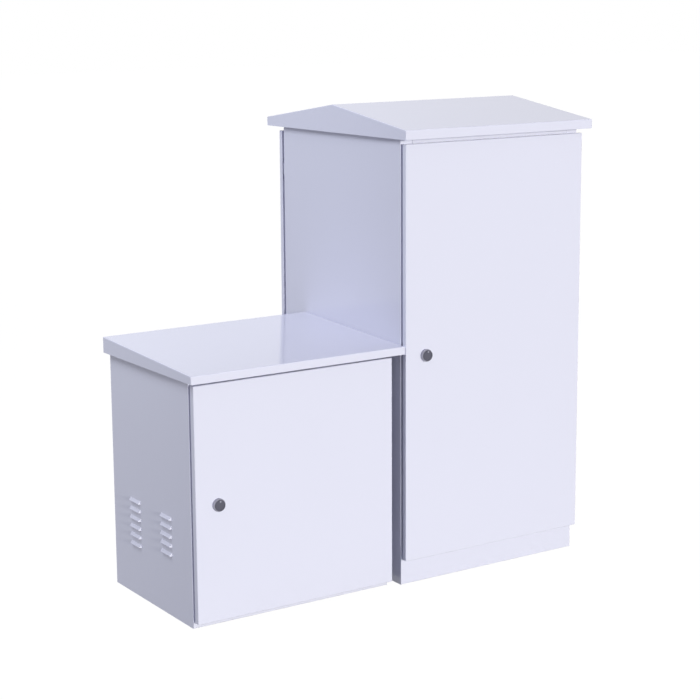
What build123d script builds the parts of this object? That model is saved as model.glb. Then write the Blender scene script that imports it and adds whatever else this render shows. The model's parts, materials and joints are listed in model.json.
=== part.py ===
from build123d import *
from math import atan, cos, radians, sin, sqrt
import os

os.makedirs("parts", exist_ok=True)

# Roadside utility cabinet: a tall equipment cabinet under a gable roof, with a lower
# battery cabinet under a sloped lid joined to its left side. X runs to the right along
# the front, Y runs towards the back and Z up. The origin is on the floor, under the
# middle of the whole cabinet. All sizes are in millimetres.

# Bodies
tall_width = 600.0
tall_depth = 580.0
tall_body_top = 1226.0
low_width = 600.0
low_depth = 436.0
low_body_top = 655.0
low_setback = 21.0
cabinet_spacing = 32.0

# Folded sheet
sheet = 1.5
bend = 1.0
flange_width = 38.0
lip_height = 8.0
seat = 0.3

# Roof cover
roof_lap = 13.0
roof_eave_height = 25.0
roof_rise = 51.0
roof_side_overhang = 16.0
roof_front_overhang = 46.0
roof_rear_overhang = 64.0

# Lid
lid_lap = 10.0
lid_front_height = 21.0
lid_rear_height = 43.0
lid_side_overhang = 14.0
lid_front_overhang = 42.0
lid_rear_overhang = 13.0
lid_side_gap = 0.3

# Bearers under the roof cover and the lid
bearer_sheet = 2.0
bearer_foot = 25.0
bearer_side_inset = 80.0
bearer_end_inset = 30.0
bearer_bolt_inset = 90.0

# Doors
tall_door_bottom = 72.0
tall_door_top_inset = 26.0
tall_door_depth = 14.5
low_door_bottom = 17.0
low_door_top_inset = 18.0
low_door_depth = 17.0
door_gap = 9.0
door_return = 36.0
gasket_inset = 23.0
gasket_width = 11.0
stiffener_width = 40.0
stiffener_height = 12.0
stiffener_foot = 12.0
stiffener_spacing = 220.0
stiffener_end_gap = 60.0

# Hinges
pivot_inset = 8.5
pivot_out = 16.0
pin_diameter = 5.0
pin_head_diameter = 8.0
pin_head_height = 2.0
running_clearance = 0.05
eye_radius = 4.5
arm_reach = 13.5
arm_thickness = 3.8
leaf_thickness = 3.0
bracket_height = 34.0
knuckle_height = 10.0
hinge_play = 0.5
notch_margin = 1.5
knuckle_round = 3.6
hinge_end_inset = 110.0

# Locks
lock_inset = 64.0
low_lock_drop = 2.5
lock_head_diameter = 34.0
lock_head_height = 9.5
lock_head_bevel = 1.8
lock_barrel_diameter = 22.0
lock_plug_diameter = 13.0
lock_plug_head = 16.0
lock_plug_lip = 1.0
key_slot_length = 8.0
key_slot_width = 2.0
key_slot_depth = 5.0
lock_nut_flats = 28.0
lock_nut_height = 5.0
cover_diameter = 29.0
cover_thickness = 2.0
cover_rim = 2.4
cover_dish = 0.8
cover_nib_length = 8.0
cover_nib_width = 2.6
cover_nib_inset = 6.0
cover_pivot_offset = 10.5
cover_pivot_diameter = 3.0
cover_ear_radius = 3.6
cover_rivet_head = 5.0
cover_rivet_height = 1.0
cam_behind_lip = 2.0
cam_thickness = 3.0
cam_hub_radius = 11.0
cam_tongue_length = 38.0
cam_tongue_width = 14.0
cam_square = 8.0
cam_screw_diameter = 7.0
cam_screw_height = 2.5

# Latch rods of the tall doors
crank_radius = 14.0
crank_pin_diameter = 5.0
crank_arm_width = 12.0
crank_swing = 45.0
rod_width = 12.0
rod_thickness = 4.0
rod_head_width = 15.0
rod_head_height = 15.0
rod_end_clearance = 3.0
rod_level_gap = 0.3
rod_slot_play = 0.75
guide_sheet = 2.0
guide_width = 19.0
guide_foot = 16.0
guide_overhang = 3.0
guide_play = 0.3
guide_near_gap = 150.0
guide_far_gap = 60.0
floor_slot_play = 1.5

# Feet and anchors
foot_width = 45.0
anchor_diameter = 14.0
anchor_side_inset = 50.0
anchor_edge_inset = 27.0

# Louvres on the outer side of the low cabinet
louvre_length = 56.0
louvre_height = 8.5
louvre_lip = 1.5
louvre_projection = 6.5
louvre_bend = 1.0
louvre_pitch = 24.0
louvre_top_height = 268.0
louvre_front_place = 135.0
louvre_rear_place = 309.0
louvre_front_rows = 5
louvre_rear_rows = 6
louvre_end_slope = 3.5
louvre_sheet = 1.2
screen_margin = 14.0
screen_sheet = 1.0
screen_frame = 10.0
screen_slot_length = 34.0
screen_slot_width = 5.0
screen_slot_pitch_y = 42.0
screen_slot_pitch_z = 12.0

# Inside the tall cabinet
rack_hole_spacing = 465.1
rack_unit = 44.45
rack_hole_size = 9.5
rack_first_hole = 6.35
rack_hole_step = 15.875
rail_sheet = 2.0
rail_face_width = 30.0
rail_hole_inset = 9.0
rail_web_depth = 40.0
rail_place = 130.0
rail_foot_height = 2.0
gland_plate_length = 260.0
gland_plate_width = 110.0
gland_plate_thickness = 2.0
gland_cutout_length = 210.0
gland_cutout_width = 66.0
gland_bolt_inset = 11.0
gland_count = 3
gland_spacing = 68.0
gland_thread_diameter = 20.0
gland_hex = 26.0
gland_hex_height = 8.0
gland_dome_diameter = 23.0
gland_dome_height = 16.0
gland_thread_length = 11.0
gland_bore = 12.0
earth_bar_length = 200.0
earth_bar_width = 20.0
earth_bar_thickness = 4.0
earth_bar_height = 18.0
earth_bar_foot = 24.0
earth_bar_holes = 6
earth_bar_pitch = 22.0
earth_bar_place = 110.0
earth_hole_diameter = 6.5

# Inside the low cabinet
shelf_top = 345.0
shelf_flange = 30.0
shelf_front_gap = 75.0
shelf_rear_gap = 30.0
shelf_slot_length = 150.0
shelf_slot_width = 12.0
shelf_slot_pitch_x = 190.0
shelf_slot_pitch_y = 60.0
back_flange = 15.0

# Fasteners and the link between both cabinets
bolt_diameter = 6.0
bolt_hole = 6.6
bolt_head_flats = 10.0
bolt_head_height = 4.0
bolt_length = 12.0
link_bolt_diameter = 8.0
link_bolt_hole = 9.0
link_bolt_flats = 13.0
link_bolt_head = 5.3
link_bolt_length = 12.0
spacer_diameter = 18.0
link_low_height = 120.0
link_high_drop = 95.0
link_side_inset = 60.0
conduit_diameter = 40.0
conduit_wall = 4.0
conduit_height = 250.0
conduit_place = 300.0
conduit_collar_diameter = 54.0
conduit_collar = 3.0
conduit_end = 14.0
conduit_nut_flats = 52.0
conduit_nut_height = 6.0
conduit_clearance = 0.3

# Places that follow from the sizes above
overall_width = (lid_side_overhang + low_width + cabinet_spacing
                 + tall_width + roof_side_overhang)
overall_depth = roof_front_overhang + tall_depth + roof_rear_overhang
low_left = lid_side_overhang - overall_width / 2
low_right = low_left + low_width
tall_left = low_right + cabinet_spacing
tall_right = tall_left + tall_width
tall_middle = (tall_left + tall_right) / 2
tall_front = roof_front_overhang - overall_depth / 2
tall_rear = tall_front + tall_depth
low_front = tall_front + low_setback
low_rear = low_front + low_depth
low_inner_rear = low_rear - sheet

# The doors, the roof, the lid and the upper links keep their place below the body tops.
tall_door_top = tall_body_top - tall_door_top_inset
low_door_top = low_body_top - low_door_top_inset
roof_eave_bottom = tall_body_top - roof_lap
lid_bottom = low_body_top - lid_lap
link_high_height = low_body_top - link_high_drop

# The openings keep the same border around the gasket on all four sides.
tall_floor = tall_door_bottom + flange_width
tall_opening_top = tall_door_top - flange_width
low_floor = low_door_bottom + flange_width
low_opening_top = low_door_top - flange_width
tall_door_middle = (tall_door_bottom + tall_door_top) / 2
low_door_middle = (low_door_bottom + low_door_top) / 2
lock_reach = lip_height + cam_behind_lip

# Reference planes on the body fronts: X to the viewer's right, Y up, Z out of the body
front_face = Plane(origin=(tall_left, tall_front, 0), x_dir=(1, 0, 0), z_dir=(0, -1, 0))
rear_face = Plane(origin=(tall_right, tall_rear, 0), x_dir=(-1, 0, 0), z_dir=(0, 1, 0))
low_face = Plane(origin=(low_left, low_front, 0), x_dir=(1, 0, 0), z_dir=(0, -1, 0))

# The latch crank carries each rod on one pin, half its swing above or below the middle.
rod_travel = 2 * crank_radius * sin(radians(crank_swing))
crank_side = crank_radius * cos(radians(crank_swing))
rod_offset = (crank_radius + crank_side) / 2
rod_slot_length = crank_radius - crank_side + crank_pin_diameter + 2 * rod_slot_play
rod_slot_height = crank_pin_diameter + 2 * rod_slot_play
rod_level = lock_reach + cam_thickness + rod_level_gap


def save(part, name):
    """Label one finished piece and write it."""
    part.label = name
    export_step(part, f"parts/{name}.step")


def plan(face, height):
    """Level plane over a face: X along the face, Y into the body, Z up."""
    return Plane(origin=face.from_local_coords((0, 0, 0)) + Vector(0, 0, height),
                 x_dir=face.x_dir, z_dir=(0, 0, 1))


def lock_plane(face, door_depth, height):
    """Plane on the outside of a door, at the middle of its lock."""
    spot = face.from_local_coords((lock_inset, height, door_gap + door_depth))
    return Plane(origin=spot, x_dir=face.x_dir, z_dir=face.z_dir)


def folded_ring(plane, low, high, lip_x=None, lip_y=None):
    """Section of a folded sheet between two corners, open on one side between its lips.

    lip_x opens the side at the higher X, lip_y opens the side at the lower Y.
    """
    width = high[0] - low[0]
    height = high[1] - low[1]
    middle = ((low[0] + high[0]) / 2, (low[1] + high[1]) / 2)
    with BuildSketch(plane) as ring:
        with Locations(middle):
            Rectangle(width, height)
        fillet(ring.vertices(), radius=bend + sheet)
        offset(amount=-sheet, mode=Mode.SUBTRACT)
        if lip_x is not None:
            with Locations((high[0] - sheet / 2, middle[1])):
                Rectangle(2 * sheet, height - 2 * lip_x, mode=Mode.SUBTRACT)
        if lip_y is not None:
            with Locations((middle[0], low[1] + sheet / 2)):
                Rectangle(width - 2 * lip_y, 2 * sheet, mode=Mode.SUBTRACT)
    return ring.sketch


def side_wall(left, front, rear, floor, top, rear_flange):
    """Left side of a body: a full wall with folded flanges above the floor pan."""
    with BuildPart() as wall:
        for bottom, height in ((0, floor), (top - sheet, sheet)):
            with BuildSketch(Plane.XY.offset(bottom)):
                with Locations((left + sheet / 2, (front + rear) / 2)):
                    Rectangle(sheet, rear - front)
            extrude(amount=height)
        end = rear if rear_flange else rear + flange_width
        section = folded_ring(Plane.XY.offset(floor), (left, front),
                              (left + flange_width, end), lip_x=lip_height)
        extrude(section, amount=top - sheet - floor)
        if not rear_flange:
            split(bisect_by=Plane.XZ.offset(-rear), keep=Keep.TOP)
    return wall.part


def hood_plan(length, reach):
    """Plan of a louvre whose ends slope inwards."""
    with BuildSketch(Plane.XY) as outline:
        with BuildLine():
            Polyline((2 * sheet, -length / 2), (0, -length / 2),
                     (-reach, louvre_end_slope - length / 2),
                     (-reach, length / 2 - louvre_end_slope),
                     (0, length / 2), (2 * sheet, length / 2), close=True)
        make_face()
    return outline.sketch


def floor_pan(left, right, front, rear, floor):
    """Floor folded down at the front and rear, with feet folded in at the ground."""
    with BuildPart() as pan:
        section = folded_ring(Plane.YZ.offset(left + sheet), (front, 0),
                              (rear, floor), lip_y=foot_width)
        extrude(section, amount=right - left - 2 * sheet)
        with BuildSketch(Plane.XY):
            with Locations(((left + right) / 2, (front + rear) / 2)):
                with GridLocations(right - left - 2 * anchor_side_inset,
                                   rear - front - 2 * anchor_edge_inset, 2, 2):
                    Circle(anchor_diameter / 2)
        extrude(amount=2 * sheet, mode=Mode.SUBTRACT)
    return pan.part


def top_pan(left, right, front, rear, opening_top, top, rear_flange):
    """Top plate between the side walls, folded down over each door opening."""
    with BuildPart() as pan:
        for edge in (left + sheet, right - flange_width):
            with BuildSketch(Plane.XY.offset(top - sheet)):
                with Locations((edge + (flange_width - sheet) / 2, (front + rear) / 2)):
                    Rectangle(flange_width - sheet, rear - front)
            extrude(amount=sheet)
        end = rear if rear_flange else rear + flange_width
        section = folded_ring(Plane.YZ.offset(left + flange_width), (front, opening_top),
                              (end, top), lip_y=lip_height)
        extrude(section, amount=right - left - 2 * flange_width)
        if not rear_flange:
            split(bisect_by=Plane.XZ.offset(-rear), keep=Keep.TOP)
    return pan.part


def rain_cover(outline, left, right):
    """Sheet cover with closed ends, open underneath, from its outline in YZ."""
    with BuildPart() as cover:
        with BuildSketch(Plane.YZ.offset(left)):
            with BuildLine():
                Polyline(*outline, close=True)
            make_face()
        extrude(amount=right - left)
        bottom = cover.faces().sort_by(Axis.Z)[0]
        folds = cover.edges() - bottom.edges()
        fillet(folds, radius=bend + sheet)
        with BuildSketch(Plane.YZ.offset(left + sheet)) as hollow:
            with BuildLine():
                Polyline(*outline, close=True)
            make_face()
            offset(amount=-sheet, kind=Kind.INTERSECTION)
            with Locations(((outline[0][0] + outline[-1][0]) / 2, outline[0][1])):
                Rectangle(outline[-1][0] - outline[0][0] - 2 * sheet, 4 * sheet)
        extrude(amount=right - left - 2 * sheet, mode=Mode.SUBTRACT)
    return cover.part


def door_panel(face, width, bottom, top, depth, lock_height):
    """Shallow door pan with return flanges, notched at the hinges, with welded knuckles."""
    height = top - bottom
    middle = (width / 2, (bottom + top) / 2)
    hinge_heights = (bottom + hinge_end_inset, top - hinge_end_inset)
    pivot = (width - pivot_inset, -pivot_out)
    with BuildPart() as panel:
        with BuildSketch(face.offset(door_gap)):
            with Locations(middle):
                Rectangle(width, height)
        extrude(amount=depth)
        outside = panel.faces().sort_by(Axis(face.origin, face.z_dir))[-1]
        corners = panel.edges().filter_by(Axis(face.origin, face.z_dir))
        fillet(outside.edges() + corners, radius=bend + sheet)
        with BuildSketch(face.offset(door_gap + sheet)):
            with Locations(middle):
                Rectangle(width - 2 * sheet, height - 2 * sheet)
        extrude(amount=depth - 2 * sheet, mode=Mode.SUBTRACT)
        with BuildSketch(face.offset(door_gap)):
            with Locations(middle):
                Rectangle(width - 2 * door_return, height - 2 * door_return)
            notch_width = pivot_inset + arm_reach + hinge_play
            notch_height = bracket_height + 2 * (knuckle_height + hinge_play + notch_margin)
            for level in hinge_heights:
                with Locations((width - sheet - notch_width / 2, level)):
                    Rectangle(notch_width, notch_height)
        extrude(amount=sheet, mode=Mode.SUBTRACT)
        with BuildSketch(face.offset(door_gap)):
            with Locations((lock_inset, lock_height)):
                Circle(lock_barrel_diameter / 2 + running_clearance)
        extrude(amount=depth, mode=Mode.SUBTRACT)
        # Welded knuckles stand above and below each body bracket.
        block_width = eye_radius + pivot_inset - sheet
        block_depth = eye_radius + door_gap + depth - sheet - pivot_out
        for level in hinge_heights:
            for lower in (level - bracket_height / 2 - hinge_play - knuckle_height,
                          level + bracket_height / 2 + hinge_play):
                with BuildSketch(plan(face, lower)) as block:
                    with Locations((pivot[0] - eye_radius + block_width / 2,
                                    pivot[1] + eye_radius - block_depth / 2)):
                        Rectangle(block_width, block_depth)
                    rim = block.vertices().group_by(Axis(face.origin, face.z_dir))[0]
                    fillet(rim.sort_by(Axis(face.origin, face.x_dir))[0],
                           radius=knuckle_round)
                    with Locations(pivot):
                        Circle(pin_diameter / 2 + running_clearance, mode=Mode.SUBTRACT)
                extrude(amount=knuckle_height)
    return panel.part


def hinge_brackets(face, width, bottom, top):
    """Gooseneck brackets on the body, one near each end of the door."""
    pivot = (width - pivot_inset, -pivot_out)
    with BuildPart() as brackets:
        for level in (bottom + hinge_end_inset, top - hinge_end_inset):
            with BuildSketch(plan(face, level - bracket_height / 2)):
                with Locations(pivot):
                    Circle(eye_radius)
                    with Locations((-arm_reach / 2, 0)):
                        Rectangle(arm_reach, arm_thickness)
                    leg_length = pivot_out + arm_thickness / 2
                    with Locations((-arm_reach + arm_thickness / 2,
                                    leg_length / 2 - arm_thickness / 2)):
                        Rectangle(arm_thickness, leg_length)
                    leaf_width = arm_reach + pivot_inset - sheet
                    with Locations((-arm_reach + leaf_width / 2,
                                    pivot_out - leaf_thickness / 2)):
                        Rectangle(leaf_width, leaf_thickness)
                    Circle(pin_diameter / 2 + running_clearance, mode=Mode.SUBTRACT)
            extrude(amount=bracket_height)
    return brackets.part


def hinge_pins(face, width, bottom, top):
    """Headed pins through the knuckles and brackets."""
    pivot = (width - pivot_inset, -pivot_out)
    reach = bracket_height / 2 + hinge_play + knuckle_height
    with BuildPart() as pins:
        for level in (bottom + hinge_end_inset, top - hinge_end_inset):
            with BuildSketch(plan(face, level - reach)):
                with Locations(pivot):
                    Circle(pin_diameter / 2)
            extrude(amount=2 * reach + seat)
            with BuildSketch(plan(face, level + reach + seat)):
                with Locations(pivot):
                    Circle(pin_head_diameter / 2)
            extrude(amount=pin_head_height)
    return pins.part


def door_gasket(face, width, bottom, top):
    """Foam strip on the return flanges, just short of the body face."""
    middle = (width / 2, (bottom + top) / 2)
    outer_width = width - 2 * gasket_inset
    outer_height = top - bottom - 2 * gasket_inset
    with BuildPart() as gasket:
        with BuildSketch(face.offset(seat)) as strip:
            with Locations(middle):
                RectangleRounded(outer_width, outer_height, gasket_width)
                Rectangle(outer_width - 2 * gasket_width, outer_height - 2 * gasket_width,
                          mode=Mode.SUBTRACT)
        extrude(amount=door_gap - seat)
    return gasket.part


def door_stiffeners(face, width, bottom, top, depth):
    """Two upright hat channels on the inside of the door skin."""
    skin = door_gap + depth - sheet
    length = top - bottom - 2 * stiffener_end_gap
    with BuildPart() as channels:
        with BuildSketch(plan(face, bottom + stiffener_end_gap)):
            with Locations((width / 2, -skin)):
                with GridLocations(stiffener_spacing, 1, 2, 1):
                    with Locations((0, sheet / 2)):
                        Rectangle(stiffener_width + 2 * stiffener_foot, sheet)
                    with Locations((0, stiffener_height / 2)):
                        Rectangle(stiffener_width, stiffener_height)
                with GridLocations(stiffener_spacing, 1, 2, 1):
                    with Locations((0, (stiffener_height - sheet) / 2)):
                        Rectangle(stiffener_width - 2 * sheet, stiffener_height - sheet,
                                  mode=Mode.SUBTRACT)
        extrude(amount=length)
    return channels.part


def lock_housing(plane, door_depth):
    """Round head with a threaded barrel that carries the plug through the door."""
    barrel_length = door_gap + door_depth + lock_reach - seat
    with BuildPart() as housing:
        with BuildSketch(plane):
            Circle(lock_head_diameter / 2)
        extrude(amount=lock_head_height)
        rim = housing.edges().group_by(Axis(plane.origin, plane.z_dir))[-1]
        chamfer(rim, length=lock_head_bevel)
        with BuildSketch(plane):
            Circle(lock_barrel_diameter / 2)
        extrude(amount=-barrel_length)
        with BuildSketch(plane.offset(-barrel_length)):
            Circle(lock_plug_diameter / 2 + running_clearance)
        extrude(amount=barrel_length + lock_head_height, mode=Mode.SUBTRACT)
        with BuildSketch(plane.offset(lock_head_height)):
            Circle(lock_plug_head / 2 + running_clearance)
        extrude(amount=-lock_plug_lip - running_clearance, mode=Mode.SUBTRACT)
        with BuildSketch(plane.offset(lock_head_height)):
            with Locations((0, cover_pivot_offset)):
                Circle(cover_pivot_diameter / 2)
        extrude(amount=seat + cover_thickness + seat)
        with BuildSketch(plane.offset(lock_head_height + cover_thickness + 2 * seat)):
            with Locations((0, cover_pivot_offset)):
                Circle(cover_rivet_head / 2)
        extrude(amount=cover_rivet_height)
    return housing.part


def lock_nut(plane):
    """Hexagon nut that clamps the lock on the inside of the door skin."""
    with BuildPart() as nut:
        with BuildSketch(plane.offset(-sheet)):
            RegularPolygon(lock_nut_flats / 2, 6, major_radius=False)
            Circle(lock_barrel_diameter / 2 + running_clearance, mode=Mode.SUBTRACT)
        extrude(amount=-lock_nut_height)
    return nut.part


def lock_plug(plane, door_depth):
    """Turning plug with its key slot, and a square end for the cam."""
    reach = door_gap + door_depth + lock_reach
    with BuildPart() as plug:
        with BuildSketch(plane.offset(lock_head_height)):
            Circle(lock_plug_head / 2)
        extrude(amount=-lock_plug_lip)
        with BuildSketch(plane.offset(lock_head_height - lock_plug_lip)):
            Circle(lock_plug_diameter / 2)
        extrude(amount=-(lock_head_height - lock_plug_lip + reach - seat))
        with BuildSketch(plane.offset(-reach + seat)):
            Rectangle(cam_square, cam_square)
        extrude(amount=-cam_thickness - seat)
        with BuildSketch(plane.offset(-reach - cam_thickness)):
            Circle(cam_screw_diameter / 2)
        extrude(amount=-cam_screw_height)
        with BuildSketch(plane.offset(lock_head_height)):
            Rectangle(key_slot_width, key_slot_length)
        extrude(amount=-key_slot_depth, mode=Mode.SUBTRACT)
    return plug.part


def lock_cover(plane):
    """Dust cover that hangs from its rivet over the key slot."""
    with BuildPart() as cover:
        with BuildSketch(plane.offset(lock_head_height + seat)):
            Circle(cover_diameter / 2)
            with Locations((0, cover_pivot_offset)):
                Circle(cover_ear_radius)
                Circle(cover_pivot_diameter / 2 + running_clearance, mode=Mode.SUBTRACT)
        extrude(amount=cover_thickness)
        with BuildSketch(plane.offset(lock_head_height + seat + cover_thickness)):
            Circle(cover_diameter / 2 - cover_rim)
            with Locations((0, cover_pivot_offset)):
                Circle(cover_ear_radius, mode=Mode.SUBTRACT)
            with Locations((0, cover_nib_inset - cover_diameter / 2)):
                SlotOverall(cover_nib_length, cover_nib_width, mode=Mode.SUBTRACT)
        extrude(amount=-cover_dish, mode=Mode.SUBTRACT)
    return cover.part


def latch_cam(plane, door_depth, with_rods):
    """Tongue that turns behind the body flange, with two crank pins for the rods."""
    front = plane.offset(-(door_gap + door_depth + lock_reach))
    with BuildPart() as cam:
        with BuildSketch(front):
            Circle(cam_hub_radius)
            with Locations((0, cam_tongue_length / 2)):
                Rectangle(cam_tongue_width, cam_tongue_length)
            if with_rods:
                with PolarLocations(crank_radius / 2, 2, start_angle=-crank_swing):
                    Rectangle(crank_radius, crank_arm_width)
                with PolarLocations(crank_radius, 2, start_angle=-crank_swing):
                    Circle(crank_arm_width / 2)
            Rectangle(cam_square + 2 * running_clearance, cam_square + 2 * running_clearance,
                      mode=Mode.SUBTRACT)
        extrude(amount=-cam_thickness)
        if with_rods:
            with BuildSketch(front.offset(-cam_thickness)):
                with PolarLocations(crank_radius, 2, start_angle=-crank_swing):
                    Circle(crank_pin_diameter / 2)
            extrude(amount=-(rod_level_gap + rod_thickness + rod_level_gap))
    return cam.part


def latch_rod(face, middle, end, side):
    """Flat rod from the crank to one end of the opening; side is 1 up and -1 down."""
    head = middle - side * rod_travel / 2
    across = lock_inset + side * rod_offset
    with BuildPart() as rod:
        with BuildSketch(face.offset(-rod_level)) as outline:
            with Locations((across, (head + end) / 2)):
                Rectangle(rod_width, abs(end - head))
            tips = outline.vertices().sort_by(Axis.Y)
            tips = tips[-2:] if side > 0 else tips[:2]
            chamfer(tips, rod_width / 4)
            with Locations((across, head)):
                RectangleRounded(rod_head_width, rod_head_height, rod_width / 4)
                SlotOverall(rod_slot_length, rod_slot_height, mode=Mode.SUBTRACT)
        extrude(amount=-rod_thickness)
    return rod.part


def rod_guides(face, middle, bottom, top, door_depth):
    """Folded guides on the door skin, two for each rod."""
    skin = door_gap + door_depth - sheet
    back = rod_level + rod_thickness + guide_overhang
    places = ((1, middle + guide_near_gap), (1, top - flange_width - guide_far_gap),
              (-1, middle - guide_near_gap), (-1, bottom + flange_width + guide_far_gap))
    with BuildPart() as guides:
        for side, level in places:
            across = lock_inset + side * rod_offset
            with BuildSketch(plan(face, level)):
                with Locations((across, (back - skin) / 2)):
                    Rectangle(guide_width, back + skin)
                with Locations((across, rod_level + rod_thickness / 2)):
                    Rectangle(rod_width + 2 * guide_play, rod_thickness + 2 * guide_play,
                              mode=Mode.SUBTRACT)
            extrude(amount=guide_sheet)
            with BuildSketch(face.offset(skin)):
                with Locations((across, level + guide_foot / 2)):
                    Rectangle(guide_width, guide_foot)
            extrude(amount=-guide_sheet)
    return guides.part


def hex_bolt(flats, head, diameter, length):
    """Hexagon bolt with its head above the XY plane and its shank below."""
    with BuildPart() as bolt:
        with BuildSketch():
            RegularPolygon(flats / 2, 6, major_radius=False)
        extrude(amount=head)
        with BuildSketch():
            Circle(diameter / 2)
        extrude(amount=-length)
    return bolt.part


# Tall body: two side walls, floor pan and top plate
tall_side_blank = side_wall(tall_left, tall_front, tall_rear, tall_floor, tall_body_top, True)

link_places_y = (low_front + link_side_inset, low_rear - link_side_inset)
link_places = [(y, z) for y in link_places_y for z in (link_low_height, link_high_height)]
conduit_center = (low_front + conduit_place, conduit_height)

with BuildPart() as tall_left_side:
    add(tall_side_blank)
    with BuildSketch(Plane.YZ.offset(tall_left)):
        with Locations(*link_places):
            Circle(link_bolt_hole / 2)
        with Locations(conduit_center):
            Circle(conduit_diameter / 2 + conduit_clearance)
    extrude(amount=sheet, mode=Mode.SUBTRACT)
save(tall_left_side.part, "tall_left_side")

with BuildPart() as tall_right_side:
    mirror(tall_side_blank, about=Plane.YZ.offset(tall_middle))
save(tall_right_side.part, "tall_right_side")

gland_place = (tall_middle, (tall_front + tall_rear) / 2)
gland_bolts = (gland_plate_length - 2 * gland_bolt_inset, gland_plate_width - 2 * gland_bolt_inset)
rail_hole_side = rack_hole_spacing / 2
rail_inner_edge = rail_hole_side - rail_hole_inset
rail_outer_edge = rail_inner_edge + rail_face_width
rail_foot_middle = (rail_inner_edge + rail_outer_edge) / 2
rail_front = tall_front + rail_place
rail_foot_place = rail_front + rail_web_depth / 2
rail_feet = [(tall_middle + side * rail_foot_middle, rail_foot_place) for side in (-1, 1)]
earth_bar_y = tall_rear - earth_bar_place
earth_foot_middle = earth_bar_length / 2 - earth_bar_foot / 2
earth_feet = [(tall_middle + side * earth_foot_middle, earth_bar_y) for side in (-1, 1)]

with BuildPart() as tall_base_pan:
    add(floor_pan(tall_left, tall_right, tall_front, tall_rear, tall_floor))
    with BuildSketch(Plane.XY.offset(tall_floor)):
        with Locations(gland_place):
            Rectangle(gland_cutout_length, gland_cutout_width)
            with GridLocations(*gland_bolts, 2, 2):
                Circle(bolt_hole / 2)
        with Locations(*rail_feet, *earth_feet):
            Circle(bolt_hole / 2)
    extrude(amount=-sheet, mode=Mode.SUBTRACT)
    for face in (front_face, rear_face):
        with BuildSketch(plan(face, tall_floor)):
            with Locations((lock_inset - rod_offset, rod_level + rod_thickness / 2)):
                Rectangle(rod_width + 2 * floor_slot_play, rod_thickness + 2 * floor_slot_play)
        extrude(amount=-sheet, mode=Mode.SUBTRACT)
save(tall_base_pan.part, "tall_base_pan")

roof_bearer_x = (tall_left + bearer_side_inset, tall_right - bearer_side_inset)
roof_bolt_y = (tall_front + bearer_bolt_inset, tall_rear - bearer_bolt_inset)
roof_bolts = [(x, y) for x in roof_bearer_x for y in roof_bolt_y]

with BuildPart() as tall_top_plate:
    add(top_pan(tall_left, tall_right, tall_front, tall_rear, tall_opening_top,
                tall_body_top, True))
    with BuildSketch(Plane.XY.offset(tall_body_top)):
        with Locations(*roof_bolts, *rail_feet):
            Circle(bolt_hole / 2)
    extrude(amount=-sheet, mode=Mode.SUBTRACT)
save(tall_top_plate.part, "tall_top_plate")

# Roof cover with its two bearers
roof_front = tall_front - roof_front_overhang
roof_rear = tall_rear + roof_rear_overhang
roof_middle = (roof_front + roof_rear) / 2
roof_eave_top = roof_eave_bottom + roof_eave_height
roof_ridge = roof_eave_top + roof_rise
roof_pitch = atan(roof_rise / (roof_middle - roof_front))
roof_outline = ((roof_front, roof_eave_bottom), (roof_front, roof_eave_top),
                (roof_middle, roof_ridge), (roof_rear, roof_eave_top),
                (roof_rear, roof_eave_bottom))

roof_cover = rain_cover(roof_outline, tall_left - roof_side_overhang,
                        tall_right + roof_side_overhang)
save(roof_cover, "roof_cover")


def roof_underside(y):
    """Height of the inside of the roof over one place."""
    outside = roof_ridge - abs(y - roof_middle) * roof_rise / (roof_middle - roof_front)
    return outside - sheet / cos(roof_pitch)


def cover_bearers(places, web, bottom, front, rear, bolt_places):
    """Bearers with a web cut to the cover above and a foot on the plate below."""
    with BuildPart() as bearers:
        for x in places:
            with BuildSketch(Plane.YZ.offset(x - bearer_foot / 2)):
                with BuildLine():
                    Polyline(*web, close=True)
                make_face()
            extrude(amount=bearer_sheet)
            with BuildSketch(Plane.XY.offset(bottom)):
                with Locations((x, (front + rear) / 2)):
                    Rectangle(bearer_foot, rear - front)
            extrude(amount=bearer_sheet)
        with BuildSketch(Plane.XY.offset(bottom)):
            with Locations(*bolt_places):
                Circle(bolt_hole / 2)
        extrude(amount=bearer_sheet, mode=Mode.SUBTRACT)
    return bearers.part


roof_bearer_front = tall_front + bearer_end_inset
roof_bearer_rear = tall_rear - bearer_end_inset
roof_web = ((roof_bearer_front, tall_body_top),
            (roof_bearer_front, roof_underside(roof_bearer_front)),
            (roof_middle, roof_underside(roof_middle)),
            (roof_bearer_rear, roof_underside(roof_bearer_rear)),
            (roof_bearer_rear, tall_body_top))
roof_bearers = cover_bearers(roof_bearer_x, roof_web, tall_body_top,
                             roof_bearer_front, roof_bearer_rear, roof_bolts)
save(roof_bearers, "roof_bearers")


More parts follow.
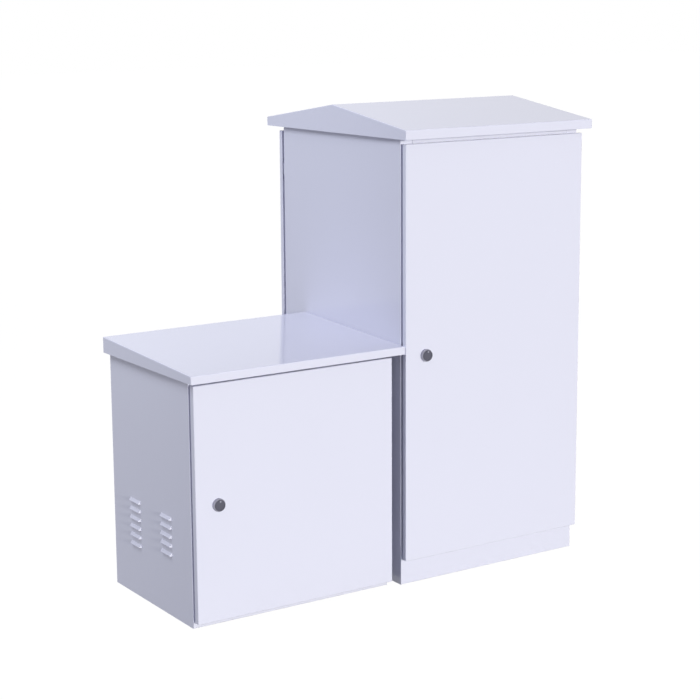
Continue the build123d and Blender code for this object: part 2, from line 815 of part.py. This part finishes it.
# Equipment rails with square holes, three to each rack unit
def rack_rail(side):
    """Upright angle with a foot at each end; side is 1 on the right and -1 on the left."""
    height = tall_body_top - sheet - tall_floor
    inner = tall_middle + side * rail_inner_edge
    face_middle = inner + side * rail_face_width / 2
    outer = inner + side * rail_face_width
    units = int((height - 2 * rail_foot_height - rack_unit) // rack_unit)
    first = tall_floor + (height - units * rack_unit) / 2 + rack_first_hole
    with BuildPart() as rail:
        with BuildSketch(Plane.XY.offset(tall_floor)):
            with Locations((face_middle, rail_front + rail_sheet / 2)):
                Rectangle(rail_face_width, rail_sheet)
            with Locations((outer - side * rail_sheet / 2, rail_front + rail_web_depth / 2)):
                Rectangle(rail_sheet, rail_web_depth)
        extrude(amount=height)
        for foot in (tall_floor, tall_floor + height - rail_foot_height):
            with BuildSketch(Plane.XY.offset(foot)):
                with Locations((face_middle, rail_foot_place)):
                    Rectangle(rail_face_width, rail_web_depth)
                    Circle(bolt_hole / 2, mode=Mode.SUBTRACT)
            extrude(amount=rail_foot_height)
        with BuildSketch(Plane.XZ.offset(-rail_front)):
            for unit in range(units):
                for hole in range(3):
                    level = first + unit * rack_unit + hole * rack_hole_step
                    with Locations((tall_middle + side * rail_hole_side, level)):
                        Rectangle(rack_hole_size, rack_hole_size)
        extrude(amount=-rail_sheet, mode=Mode.SUBTRACT)
    return rail.part


save(rack_rail(-1), "rack_rail_left")
save(rack_rail(1), "rack_rail_right")

# Gland plate over the cable cut-out, with its glands
with BuildPart() as gland_plate:
    with BuildSketch(Plane.XY.offset(tall_floor)):
        with Locations(gland_place):
            Rectangle(gland_plate_length, gland_plate_width)
            with GridLocations(*gland_bolts, 2, 2):
                Circle(bolt_hole / 2, mode=Mode.SUBTRACT)
            with GridLocations(gland_spacing, 1, gland_count, 1):
                Circle(gland_thread_diameter / 2 + running_clearance, mode=Mode.SUBTRACT)
    extrude(amount=gland_plate_thickness)
save(gland_plate.part, "gland_plate")

gland_seat = tall_floor + gland_plate_thickness
with BuildPart() as cable_glands:
    with BuildSketch(Plane.XY.offset(gland_seat)):
        with Locations(gland_place):
            with GridLocations(gland_spacing, 1, gland_count, 1):
                RegularPolygon(gland_hex / 2, 6, major_radius=False)
    extrude(amount=gland_hex_height)
    with BuildSketch(Plane.XY.offset(gland_seat + gland_hex_height)):
        with Locations(gland_place):
            with GridLocations(gland_spacing, 1, gland_count, 1):
                Circle(gland_dome_diameter / 2)
    extrude(amount=gland_dome_height, taper=8)
    with BuildSketch(Plane.XY.offset(gland_seat)):
        with Locations(gland_place):
            with GridLocations(gland_spacing, 1, gland_count, 1):
                Circle(gland_thread_diameter / 2)
    extrude(amount=-gland_thread_length)
    with BuildSketch(Plane.XY.offset(gland_seat - gland_thread_length)):
        with Locations(gland_place):
            with GridLocations(gland_spacing, 1, gland_count, 1):
                Circle(gland_bore / 2)
    extrude(amount=gland_thread_length + gland_hex_height + gland_dome_height,
            mode=Mode.SUBTRACT)
save(cable_glands.part, "cable_glands")

# Earth bar bent down to a foot at each end
with BuildPart() as earth_bar:
    earth_top = tall_floor + earth_bar_height
    riser = earth_bar_length / 2 - earth_bar_foot - earth_bar_thickness / 2
    with BuildSketch(Plane.XZ.offset(-(earth_bar_y - earth_bar_width / 2))):
        with Locations((tall_middle, earth_top + earth_bar_thickness / 2)):
            Rectangle(2 * riser + earth_bar_thickness, earth_bar_thickness)
        for side in (-1, 1):
            with Locations((tall_middle + side * riser,
                            tall_floor + (earth_bar_height + earth_bar_thickness) / 2)):
                Rectangle(earth_bar_thickness, earth_bar_height + earth_bar_thickness)
            with Locations((tall_middle + side * earth_foot_middle,
                            tall_floor + earth_bar_thickness / 2)):
                Rectangle(earth_bar_foot, earth_bar_thickness)
    extrude(amount=-earth_bar_width)
    with BuildSketch(Plane.XY.offset(earth_top)):
        with Locations((tall_middle, earth_bar_y)):
            with GridLocations(earth_bar_pitch, 1, earth_bar_holes, 1):
                Circle(earth_hole_diameter / 2)
    extrude(amount=earth_bar_thickness, mode=Mode.SUBTRACT)
    with BuildSketch(Plane.XY.offset(tall_floor)):
        with Locations(*earth_feet):
            Circle(bolt_hole / 2)
    extrude(amount=earth_bar_thickness, mode=Mode.SUBTRACT)
save(earth_bar.part, "earth_bar")

# Low body: louvred side, plain side, back, floor pan and top plate
low_side_blank = side_wall(low_left, low_front, low_rear, low_floor, low_body_top, False)

# One louvre: a sloping hood pressed outwards, closed at the top and the ends, open below
louvre_slope = louvre_height - louvre_lip
louvre_run = louvre_projection / louvre_slope
hollow_reach = louvre_projection - louvre_sheet
hollow_shift = louvre_sheet * sqrt(1 + louvre_run ** 2)
hollow_length = louvre_length - 2 * louvre_sheet
hollow_low = -louvre_height - louvre_sheet

with BuildPart() as louvre_hood:
    with BuildSketch(Plane.XZ.offset(-louvre_length / 2)) as hood_section:
        with BuildLine():
            Polyline((sheet, 0), (0, 0), (-louvre_projection, -louvre_slope),
                     (-louvre_projection, -louvre_height), (sheet, -louvre_height), close=True)
        make_face()
        fillet(hood_section.vertices().group_by(Axis.X)[0].sort_by(Axis.Z)[-1],
               radius=louvre_bend)
    extrude(amount=louvre_length)
    extrude(hood_plan(louvre_length, louvre_projection), amount=2 * louvre_height, both=True,
            mode=Mode.INTERSECT)

with BuildPart() as louvre_hollow:
    with BuildSketch(Plane.XZ.offset(-hollow_length / 2)):
        with BuildLine():
            Polyline((2 * sheet, -louvre_sheet),
                     (hollow_shift - louvre_run * louvre_sheet, -louvre_sheet),
                     (-hollow_reach, -(hollow_reach + hollow_shift) / louvre_run),
                     (-hollow_reach, hollow_low), (2 * sheet, hollow_low), close=True)
        make_face()
    extrude(amount=hollow_length)
    extrude(hood_plan(hollow_length, hollow_reach), amount=2 * louvre_height, both=True,
            mode=Mode.INTERSECT)

louvre_places = [(low_left, low_front + place, louvre_top_height - row * louvre_pitch)
                 for place, rows in ((louvre_front_place, louvre_front_rows),
                                     (louvre_rear_place, louvre_rear_rows))
                 for row in range(rows)]

with BuildPart() as low_left_side:
    add(low_side_blank)
    with Locations(*louvre_places):
        add(louvre_hood.part)
    with Locations(*louvre_places):
        add(louvre_hollow.part, mode=Mode.SUBTRACT)
save(low_left_side.part, "low_left_side")

with BuildPart() as low_right_side:
    mirror(low_side_blank, about=Plane.YZ.offset((low_left + low_right) / 2))
    with BuildSketch(Plane.YZ.offset(low_right)):
        with Locations(*link_places):
            Circle(link_bolt_hole / 2)
        with Locations(conduit_center):
            Circle(conduit_diameter / 2 + conduit_clearance)
    extrude(amount=-sheet, mode=Mode.SUBTRACT)
save(low_right_side.part, "low_right_side")

with BuildPart() as low_back_panel:
    with BuildSketch(Plane.XY):
        with Locations(((low_left + low_right) / 2, low_rear - sheet / 2)):
            Rectangle(low_width - 2 * sheet, sheet)
        for edge in (low_left + 1.5 * sheet, low_right - 1.5 * sheet):
            with Locations((edge, low_inner_rear - back_flange / 2)):
                Rectangle(sheet, back_flange)
    extrude(amount=low_body_top)
    with BuildSketch(Plane.XY):
        with Locations(((low_left + low_right) / 2, low_inner_rear - back_flange / 2)):
            Rectangle(low_width, back_flange)
    extrude(amount=low_floor, mode=Mode.SUBTRACT)
    with BuildSketch(Plane.XY.offset(low_body_top)):
        with Locations(((low_left + low_right) / 2, low_inner_rear - back_flange / 2)):
            Rectangle(low_width, back_flange)
    extrude(amount=-sheet, mode=Mode.SUBTRACT)
save(low_back_panel.part, "low_back_panel")

low_base_pan = floor_pan(low_left, low_right, low_front, low_inner_rear, low_floor)
save(low_base_pan, "low_base_pan")

lid_bearer_x = (low_left + bearer_side_inset, low_right - bearer_side_inset)
lid_bolt_y = (low_front + bearer_bolt_inset, low_rear - bearer_bolt_inset)
lid_bolts = [(x, y) for x in lid_bearer_x for y in lid_bolt_y]

with BuildPart() as low_top_plate:
    add(top_pan(low_left, low_right, low_front, low_inner_rear, low_opening_top,
                low_body_top, False))
    with BuildSketch(Plane.XY.offset(low_body_top)):
        with Locations(*lid_bolts):
            Circle(bolt_hole / 2)
    extrude(amount=-sheet, mode=Mode.SUBTRACT)
save(low_top_plate.part, "low_top_plate")

# Lid, sloping to the front and closed against the tall body
lid_front = low_front - lid_front_overhang
lid_rear = low_rear + lid_rear_overhang
lid_slope = (lid_rear_height - lid_front_height) / (lid_rear - lid_front)
lid_outline = ((lid_front, lid_bottom), (lid_front, lid_bottom + lid_front_height),
               (lid_rear, lid_bottom + lid_rear_height), (lid_rear, lid_bottom))
low_lid = rain_cover(lid_outline, low_left - lid_side_overhang, tall_left - lid_side_gap)
save(low_lid, "low_lid")


def lid_underside(y):
    """Height of the inside of the lid over one place."""
    outside = lid_bottom + lid_front_height + (y - lid_front) * lid_slope
    return outside - sheet / cos(atan(lid_slope))


lid_bearer_front = low_front + bearer_end_inset
lid_bearer_rear = low_rear - bearer_end_inset
lid_web = ((lid_bearer_front, low_body_top), (lid_bearer_front, lid_underside(lid_bearer_front)),
           (lid_bearer_rear, lid_underside(lid_bearer_rear)), (lid_bearer_rear, low_body_top))
lid_bearers = cover_bearers(lid_bearer_x, lid_web, low_body_top,
                            lid_bearer_front, lid_bearer_rear, lid_bolts)
save(lid_bearers, "lid_bearers")

# Insect screen behind the louvres
louvre_low_height = louvre_top_height - louvre_rear_rows * louvre_pitch
screen_front = low_front + louvre_front_place - louvre_length / 2 - screen_margin
screen_rear = low_front + louvre_rear_place + louvre_length / 2 + screen_margin
screen_low = louvre_low_height - screen_margin
screen_high = louvre_top_height + screen_margin
screen_rows = int((screen_high - screen_low - 2 * screen_frame) // screen_slot_pitch_z)
screen_columns = int((screen_rear - screen_front - 2 * screen_frame) // screen_slot_pitch_y)

with BuildPart() as louvre_screen:
    with BuildSketch(Plane.YZ.offset(low_left + sheet)):
        with Locations(((screen_front + screen_rear) / 2, (screen_low + screen_high) / 2)):
            Rectangle(screen_rear - screen_front, screen_high - screen_low)
            with GridLocations(screen_slot_pitch_y, screen_slot_pitch_z,
                               screen_columns, screen_rows):
                Rectangle(screen_slot_length, screen_slot_width, mode=Mode.SUBTRACT)
    extrude(amount=screen_sheet)
save(louvre_screen.part, "louvre_screen")

# Battery shelf between the side walls
shelf_front = low_front + shelf_front_gap
shelf_rear = low_rear - shelf_rear_gap
with BuildPart() as battery_shelf:
    section = folded_ring(Plane.XZ.offset(-shelf_front), (low_left + sheet, shelf_top - shelf_flange),
                          (low_right - sheet, shelf_top), lip_y=sheet)
    extrude(section, amount=-(shelf_rear - shelf_front))
    with BuildSketch(Plane.XY.offset(shelf_top)):
        with Locations(((low_left + low_right) / 2, (shelf_front + shelf_rear) / 2)):
            with GridLocations(shelf_slot_pitch_x, shelf_slot_pitch_y, 3, 4):
                SlotOverall(shelf_slot_length, shelf_slot_width)
    extrude(amount=-sheet, mode=Mode.SUBTRACT)
save(battery_shelf.part, "battery_shelf")

# Bolts of one size: roof and lid bearers, rails, gland plate and earth bar
rail_bolt = hex_bolt(bolt_head_flats, bolt_head_height, bolt_diameter, bolt_length)
bolts_up = [(x, y, tall_body_top - sheet) for x, y in roof_bolts]
bolts_up += [(x, y, low_body_top - sheet) for x, y in lid_bolts]
bolts_up += [(x, y, tall_body_top - sheet - rail_foot_height) for x, y in rail_feet]
bolts_down = [(x, y, tall_floor + rail_foot_height) for x, y in rail_feet]
bolts_down += [(x, y, tall_floor + earth_bar_thickness) for x, y in earth_feet]
bolts_down += [(gland_place[0] + x * gland_bolts[0] / 2, gland_place[1] + y * gland_bolts[1] / 2,
                tall_floor + gland_plate_thickness) for x in (-1, 1) for y in (-1, 1)]

with BuildPart() as body_bolts:
    with Locations(*[Location(place) for place in bolts_down]):
        add(rail_bolt)
    with Locations(*[Location(place, (180, 0, 0)) for place in bolts_up]):
        add(rail_bolt)
save(body_bolts.part, "body_bolts")

# Link between both cabinets: threaded spacers, bolts from both sides, cable conduit
link_bolt = hex_bolt(link_bolt_flats, link_bolt_head, link_bolt_diameter, link_bolt_length)

with BuildPart() as link_bolts:
    with Locations(*[Location((low_right - sheet, y, z), (0, -90, 0)) for y, z in link_places]):
        add(link_bolt)
    with Locations(*[Location((tall_left + sheet, y, z), (0, 90, 0)) for y, z in link_places]):
        add(link_bolt)
save(link_bolts.part, "link_bolts")

with BuildPart() as link_spacers:
    with BuildSketch(Plane.YZ.offset(low_right)):
        with Locations(*link_places):
            Circle(spacer_diameter / 2)
            Circle(link_bolt_diameter / 2 + running_clearance, mode=Mode.SUBTRACT)
    extrude(amount=cabinet_spacing)
save(link_spacers.part, "link_spacers")

with BuildPart() as cable_conduit:
    conduit_start = low_right - sheet - conduit_collar
    conduit_length = conduit_collar + cabinet_spacing + 2 * sheet + conduit_end
    with BuildSketch(Plane.YZ.offset(conduit_start)):
        with Locations(conduit_center):
            Circle(conduit_diameter / 2)
    extrude(amount=conduit_length)
    with BuildSketch(Plane.YZ.offset(conduit_start)):
        with Locations(conduit_center):
            Circle(conduit_collar_diameter / 2)
    extrude(amount=conduit_collar)
    with BuildSketch(Plane.YZ.offset(conduit_start)):
        with Locations(conduit_center):
            Circle(conduit_diameter / 2 - conduit_wall)
    extrude(amount=conduit_length, mode=Mode.SUBTRACT)
save(cable_conduit.part, "cable_conduit")

with BuildPart() as conduit_locknut:
    with BuildSketch(Plane.YZ.offset(tall_left + sheet)):
        with Locations(conduit_center):
            RegularPolygon(conduit_nut_flats / 2, 6, major_radius=False)
            Circle(conduit_diameter / 2 + conduit_clearance, mode=Mode.SUBTRACT)
    extrude(amount=conduit_nut_height)
save(conduit_locknut.part, "conduit_locknut")

# The three doors, with their gaskets, hinges and locks
tall_door = (tall_width, tall_door_bottom, tall_door_top, tall_door_depth, tall_door_middle)
low_door = (low_width, low_door_bottom, low_door_top, low_door_depth,
            low_door_middle - low_lock_drop)
doors = (("front", front_face, *tall_door, True),
         ("rear", rear_face, *tall_door, True),
         ("low", low_face, *low_door, False))

for name, face, width, bottom, top, depth, lock_height, with_rods in doors:
    lock = lock_plane(face, depth, lock_height)
    save(door_panel(face, width, bottom, top, depth, lock_height), f"{name}_door")
    save(door_gasket(face, width, bottom, top), f"{name}_door_gasket")
    save(hinge_brackets(face, width, bottom, top), f"{name}_hinge_brackets")
    save(hinge_pins(face, width, bottom, top), f"{name}_hinge_pins")
    save(lock_housing(lock, depth), f"{name}_lock_housing")
    save(lock_nut(lock), f"{name}_lock_nut")
    save(lock_plug(lock, depth), f"{name}_lock_plug")
    save(lock_cover(lock), f"{name}_lock_cover")
    save(latch_cam(lock, depth, with_rods), f"{name}_latch_cam")
    if with_rods:
        upper_end = top - flange_width - rod_end_clearance
        lower_end = bottom + flange_width + rod_end_clearance
        save(door_stiffeners(face, width, bottom, top, depth), f"{name}_door_stiffeners")
        save(latch_rod(face, lock_height, upper_end, 1), f"{name}_upper_rod")
        save(latch_rod(face, lock_height, lower_end, -1), f"{name}_lower_rod")
        save(rod_guides(face, lock_height, bottom, top, depth), f"{name}_rod_guides")
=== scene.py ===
import json
import math
import bpy
from mathutils import Matrix, Vector

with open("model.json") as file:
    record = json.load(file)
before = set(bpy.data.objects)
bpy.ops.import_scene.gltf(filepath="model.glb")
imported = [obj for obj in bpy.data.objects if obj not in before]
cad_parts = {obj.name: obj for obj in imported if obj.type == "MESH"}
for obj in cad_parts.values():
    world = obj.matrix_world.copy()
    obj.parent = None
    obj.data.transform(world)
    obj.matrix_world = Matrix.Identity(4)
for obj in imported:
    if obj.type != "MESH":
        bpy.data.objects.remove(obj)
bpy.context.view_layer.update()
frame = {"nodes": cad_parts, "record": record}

nodes = frame["nodes"]
scene = bpy.context.scene


# Shader building blocks

NOISE_LOW, NOISE_HIGH = 0.3, 0.7      # nearly all noise values lie between these
MIX_FACTOR, MIX_FIRST, MIX_SECOND = 0, 6, 7      # inputs of a Mix node for colours
MIX_RESULT = 2      # and its output


def new_material(name):
    """A material with a Principled shader; gives (material, tree, shader)."""
    material = bpy.data.materials.new(name)
    material.use_nodes = True
    tree = material.node_tree
    tree.nodes.clear()
    out = tree.nodes.new("ShaderNodeOutputMaterial")
    shader = tree.nodes.new("ShaderNodeBsdfPrincipled")
    tree.links.new(shader.outputs["BSDF"], out.inputs["Surface"])
    return material, tree, shader


def object_space(tree, stretch=(1, 1, 1)):
    """Object coordinates, multiplied by stretch along each axis."""
    coord = tree.nodes.new("ShaderNodeTexCoord")
    mapping = tree.nodes.new("ShaderNodeMapping")
    mapping.inputs["Scale"].default_value = stretch
    tree.links.new(coord.outputs["Object"], mapping.inputs["Vector"])
    return mapping.outputs["Vector"]


def noise(tree, space, scale, detail, rough=0.5):
    """Cloudy noise with scale cells to a metre."""
    texture = tree.nodes.new("ShaderNodeTexNoise")
    texture.inputs["Scale"].default_value = scale
    texture.inputs["Detail"].default_value = detail
    texture.inputs["Roughness"].default_value = rough
    tree.links.new(space, texture.inputs["Vector"])
    return texture.outputs["Fac"]


def remap(tree, value, low, high):
    """Spread noise over the range from low to high."""
    node = tree.nodes.new("ShaderNodeMapRange")
    node.inputs["From Min"].default_value = NOISE_LOW
    node.inputs["From Max"].default_value = NOISE_HIGH
    node.inputs["To Min"].default_value = low
    node.inputs["To Max"].default_value = high
    tree.links.new(value, node.inputs["Value"])
    return node.outputs["Result"]


def color_drift(tree, value, color, darkest, lightest):
    """The colour, drifting with noise between two multiples of itself."""
    node = tree.nodes.new("ShaderNodeMix")
    node.data_type = "RGBA"
    for socket, factor in ((MIX_FIRST, darkest), (MIX_SECOND, lightest)):
        tint = [min(1.0, channel * factor) for channel in color]
        node.inputs[socket].default_value = (*tint, 1)
    tree.links.new(remap(tree, value, 0, 1), node.inputs[MIX_FACTOR])
    return node.outputs[MIX_RESULT]


def bump(tree, height, depth, strength):
    node = tree.nodes.new("ShaderNodeBump")
    node.inputs["Strength"].default_value = strength
    node.inputs["Distance"].default_value = depth
    tree.links.new(height, node.inputs["Height"])
    return node.outputs["Normal"]


# Finishes

def powder_coat(name, color, rough, ior):
    """Smooth semi-gloss powder coat with a faint orange peel."""
    shade_scale, shade_drift = 2.0, 0.004
    sheen_scale, sheen_drift = 9.0, 0.01
    peel_scale, peel_depth, peel_strength = 480.0, 0.00003, 0.5
    detail = 2.0
    material, tree, shader = new_material(name)
    space = object_space(tree)
    shade = noise(tree, space, shade_scale, detail)
    tinted = color_drift(tree, shade, color, 1 - shade_drift, 1 + shade_drift)
    tree.links.new(tinted, shader.inputs["Base Color"])
    sheen = noise(tree, space, sheen_scale, detail)
    tree.links.new(remap(tree, sheen, rough - sheen_drift, rough + sheen_drift),
                   shader.inputs["Roughness"])
    peel = noise(tree, space, peel_scale, detail)
    tree.links.new(bump(tree, peel, peel_depth, peel_strength), shader.inputs["Normal"])
    shader.inputs["IOR"].default_value = ior
    return material


def plated(name, color, rough, stretch):
    """Zinc or chrome plate: metal with faint brushing and tiny variations."""
    cloud_scale, cloud_detail, cloud_rough = 60.0, 4.0, 0.6
    darkest, lightest = 0.92, 1.06
    line_scale, line_detail = 300.0, 3.0
    smoother, rougher = 0.05, 0.07
    line_depth, line_strength = 0.00002, 0.5
    material, tree, shader = new_material(name)
    shader.inputs["Metallic"].default_value = 1.0
    cloud = noise(tree, object_space(tree), cloud_scale, cloud_detail, cloud_rough)
    tree.links.new(color_drift(tree, cloud, color, darkest, lightest),
                   shader.inputs["Base Color"])
    lines = noise(tree, object_space(tree, stretch), line_scale, line_detail)
    tree.links.new(remap(tree, lines, rough - smoother, rough + rougher),
                   shader.inputs["Roughness"])
    tree.links.new(bump(tree, lines, line_depth, line_strength), shader.inputs["Normal"])
    return material


def moulded(name, color, rough, grain, depth):
    """Rubber, plastic or lacquer with a fine grain of so many cells to a metre."""
    grain_detail, grain_rough, grain_strength = 4.0, 0.7, 0.7
    color_change, rough_change = 0.15, 0.05
    material, tree, shader = new_material(name)
    cells = noise(tree, object_space(tree), grain, grain_detail, grain_rough)
    tree.links.new(color_drift(tree, cells, color, 1 - color_change, 1 + color_change),
                   shader.inputs["Base Color"])
    tree.links.new(remap(tree, cells, rough - rough_change, rough + rough_change),
                   shader.inputs["Roughness"])
    tree.links.new(bump(tree, cells, depth, grain_strength), shader.inputs["Normal"])
    return material


by_slot = {
    "coat": powder_coat("powder_coat", color=(0.775, 0.785, 0.92), rough=0.10, ior=1.58),
    "zinc": plated("zinc_plate", color=(0.62, 0.63, 0.66), rough=0.32, stretch=(1, 1, 12)),
    "lock": plated("satin_chrome", color=(0.34, 0.34, 0.41), rough=0.36, stretch=(1, 1, 1)),
    "copper": plated("bar_metal", color=(0.72, 0.45, 0.26), rough=0.35, stretch=(12, 1, 1)),
    "gasket": moulded("gasket_foam", color=(0.03, 0.03, 0.033), rough=0.8,
                      grain=900.0, depth=0.0002),
    "plastic": moulded("moulded_plastic", color=(0.17, 0.175, 0.185), rough=0.45,
                       grain=1500.0, depth=0.00004),
    "lock_cover": moulded("grey_lacquer", color=(0.085, 0.085, 0.12), rough=0.42,
                          grain=900.0, depth=0.00002),
}

for part in frame["record"]["subparts"]:
    for slot in nodes[part["node"]].material_slots:
        slot.material = by_slot[part["material_slot"]]


# Studio: a white floor and surround, which the lamps don't need to brighten

FLOOR_REACH = 30.0
FLOOR_DROP = 0.0005      # keeps the floor just under the feet
FLOOR_COLOR = (0.34, 0.34, 0.35, 1)
FLOOR_GLOW = 1.12
FLOOR_GLOW_SHARE = 0.88      # the rest of the floor takes the object's shadow
AMBIENT_COLOR = (0.78, 0.80, 1.0, 1)
AMBIENT_STRENGTH = 0.37
WHITE = (1, 1, 1, 1)


def seen_directly(tree):
    """1 for camera, glossy and transmission rays, else 0."""
    path = tree.nodes.new("ShaderNodeLightPath")
    seen = path.outputs["Is Camera Ray"]
    for kind in ("Is Glossy Ray", "Is Transmission Ray"):
        either = tree.nodes.new("ShaderNodeMath")
        either.operation = "MAXIMUM"
        tree.links.new(seen, either.inputs[0])
        tree.links.new(path.outputs[kind], either.inputs[1])
        seen = either.outputs[0]
    return seen


def mix_shaders(tree, factor, first, second):
    mix = tree.nodes.new("ShaderNodeMixShader")
    for source, socket in zip((factor, first.outputs[0], second.outputs[0]), mix.inputs):
        tree.links.new(source, socket)
    return mix.outputs[0]


def studio_floor():
    r = FLOOR_REACH
    mesh = bpy.data.meshes.new("studio_floor")
    mesh.from_pydata([(-r, -r, 0), (r, -r, 0), (r, r, 0), (-r, r, 0)], [], [(0, 1, 2, 3)])
    floor = bpy.data.objects.new("studio_floor", mesh)
    scene.collection.objects.link(floor)
    floor.location.z = -FLOOR_DROP
    material = bpy.data.materials.new("studio_white")
    material.use_nodes = True
    tree = material.node_tree
    tree.nodes.clear()
    out = tree.nodes.new("ShaderNodeOutputMaterial")
    matte = tree.nodes.new("ShaderNodeBsdfDiffuse")
    matte.inputs["Color"].default_value = FLOOR_COLOR
    glow = tree.nodes.new("ShaderNodeEmission")
    glow.inputs["Color"].default_value = WHITE
    glow.inputs["Strength"].default_value = FLOOR_GLOW
    share = tree.nodes.new("ShaderNodeMath")
    share.operation = "MULTIPLY"
    share.inputs[1].default_value = FLOOR_GLOW_SHARE
    tree.links.new(seen_directly(tree), share.inputs[0])
    tree.links.new(mix_shaders(tree, share.outputs[0], matte, glow), out.inputs["Surface"])
    mesh.materials.append(material)


def studio_world():
    world = bpy.data.worlds.new("studio")
    world.use_nodes = True
    tree = world.node_tree
    tree.nodes.clear()
    out = tree.nodes.new("ShaderNodeOutputWorld")
    ambient = tree.nodes.new("ShaderNodeBackground")
    ambient.inputs["Color"].default_value = AMBIENT_COLOR
    ambient.inputs["Strength"].default_value = AMBIENT_STRENGTH
    white = tree.nodes.new("ShaderNodeBackground")
    white.inputs["Color"].default_value = WHITE
    white.inputs["Strength"].default_value = 1.0
    tree.links.new(mix_shaders(tree, seen_directly(tree), ambient, white),
                   out.inputs["Surface"])
    scene.world = world


def hang_lamp(name, kind, power, color, direction):
    """A lamp that shines along a direction; gives (lamp, holder)."""
    lamp = bpy.data.lights.new(name, kind)
    lamp.energy = power
    lamp.color = color
    holder = bpy.data.objects.new(name, lamp)
    holder.rotation_mode = "QUATERNION"
    holder.rotation_quaternion = Vector(direction).to_track_quat("-Z", "Y")
    scene.collection.objects.link(holder)
    return lamp, holder


def sun(name, direction, strength, spread, color):
    """A soft lamp far away; the spread is its width in degrees."""
    lamp, holder = hang_lamp(name, "SUN", strength, color, direction)
    lamp.angle = math.radians(spread)


def panel(name, place, target, size, power, color):
    """A square soft box at a place, turned to a target, with no glare of its own."""
    direction = Vector(target) - Vector(place)
    lamp, holder = hang_lamp(name, "AREA", power, color, direction)
    lamp.size = size
    holder.location = place
    holder.visible_glossy = False


studio_floor()
studio_world()
sun("front_lamp", direction=(0.07, 0.99, -0.12), strength=2.42, spread=6.0,
    color=(1.0, 0.985, 0.91))
sun("back_lamp", direction=(-0.25, -0.95, -0.1), strength=1.1, spread=20.0,
    color=(0.98, 0.98, 1.0))
sun("top_lamp", direction=(0.0, 0.05, -1.0), strength=0.12, spread=30.0,
    color=(1.0, 0.9, 1.0))
panel("side_lamp", place=(-1.7, 0.5, 2.5), target=(0.0, 0.0, 0.6), size=1.0, power=22.0,
      color=(0.93, 0.97, 1.0))


# Camera at the photograph's place; angles in degrees, the rest in metres or pixels

CAMERA_PLACE = (-2.61339, -3.98384, 1.58401)
CAMERA_YAW, CAMERA_PITCH, CAMERA_ROLL = 32.27, -10.55, -0.63
PHOTO_SIZE = 700.0
FOCAL_LENGTH = 1736.19
CENTER_X, CENTER_Y = 304.51, 318.12
SENSOR_WIDTH = 36.0      # millimetres
CLIP_END = 100.0


def camera():
    yaw, pitch, roll = map(math.radians, (CAMERA_YAW, CAMERA_PITCH, CAMERA_ROLL))
    ahead = Vector((math.sin(yaw) * math.cos(pitch), math.cos(yaw) * math.cos(pitch),
                    math.sin(pitch)))
    level = Vector((math.cos(yaw), -math.sin(yaw), 0))
    upright = level.cross(ahead)
    right = math.cos(roll) * level + math.sin(roll) * upright
    up = -math.sin(roll) * level + math.cos(roll) * upright
    lens = bpy.data.cameras.new("camera")
    lens.sensor_width = SENSOR_WIDTH
    lens.lens = FOCAL_LENGTH / PHOTO_SIZE * SENSOR_WIDTH
    lens.shift_x = (PHOTO_SIZE / 2 - CENTER_X) / PHOTO_SIZE
    lens.shift_y = (CENTER_Y - PHOTO_SIZE / 2) / PHOTO_SIZE
    lens.clip_end = CLIP_END
    holder = bpy.data.objects.new("camera", lens)
    turn = Matrix((right, up, -ahead)).transposed()
    holder.matrix_world = Matrix.Translation(CAMERA_PLACE) @ turn.to_4x4()
    scene.collection.objects.link(holder)
    scene.camera = holder


camera()
scene.view_settings.view_transform = "Standard"
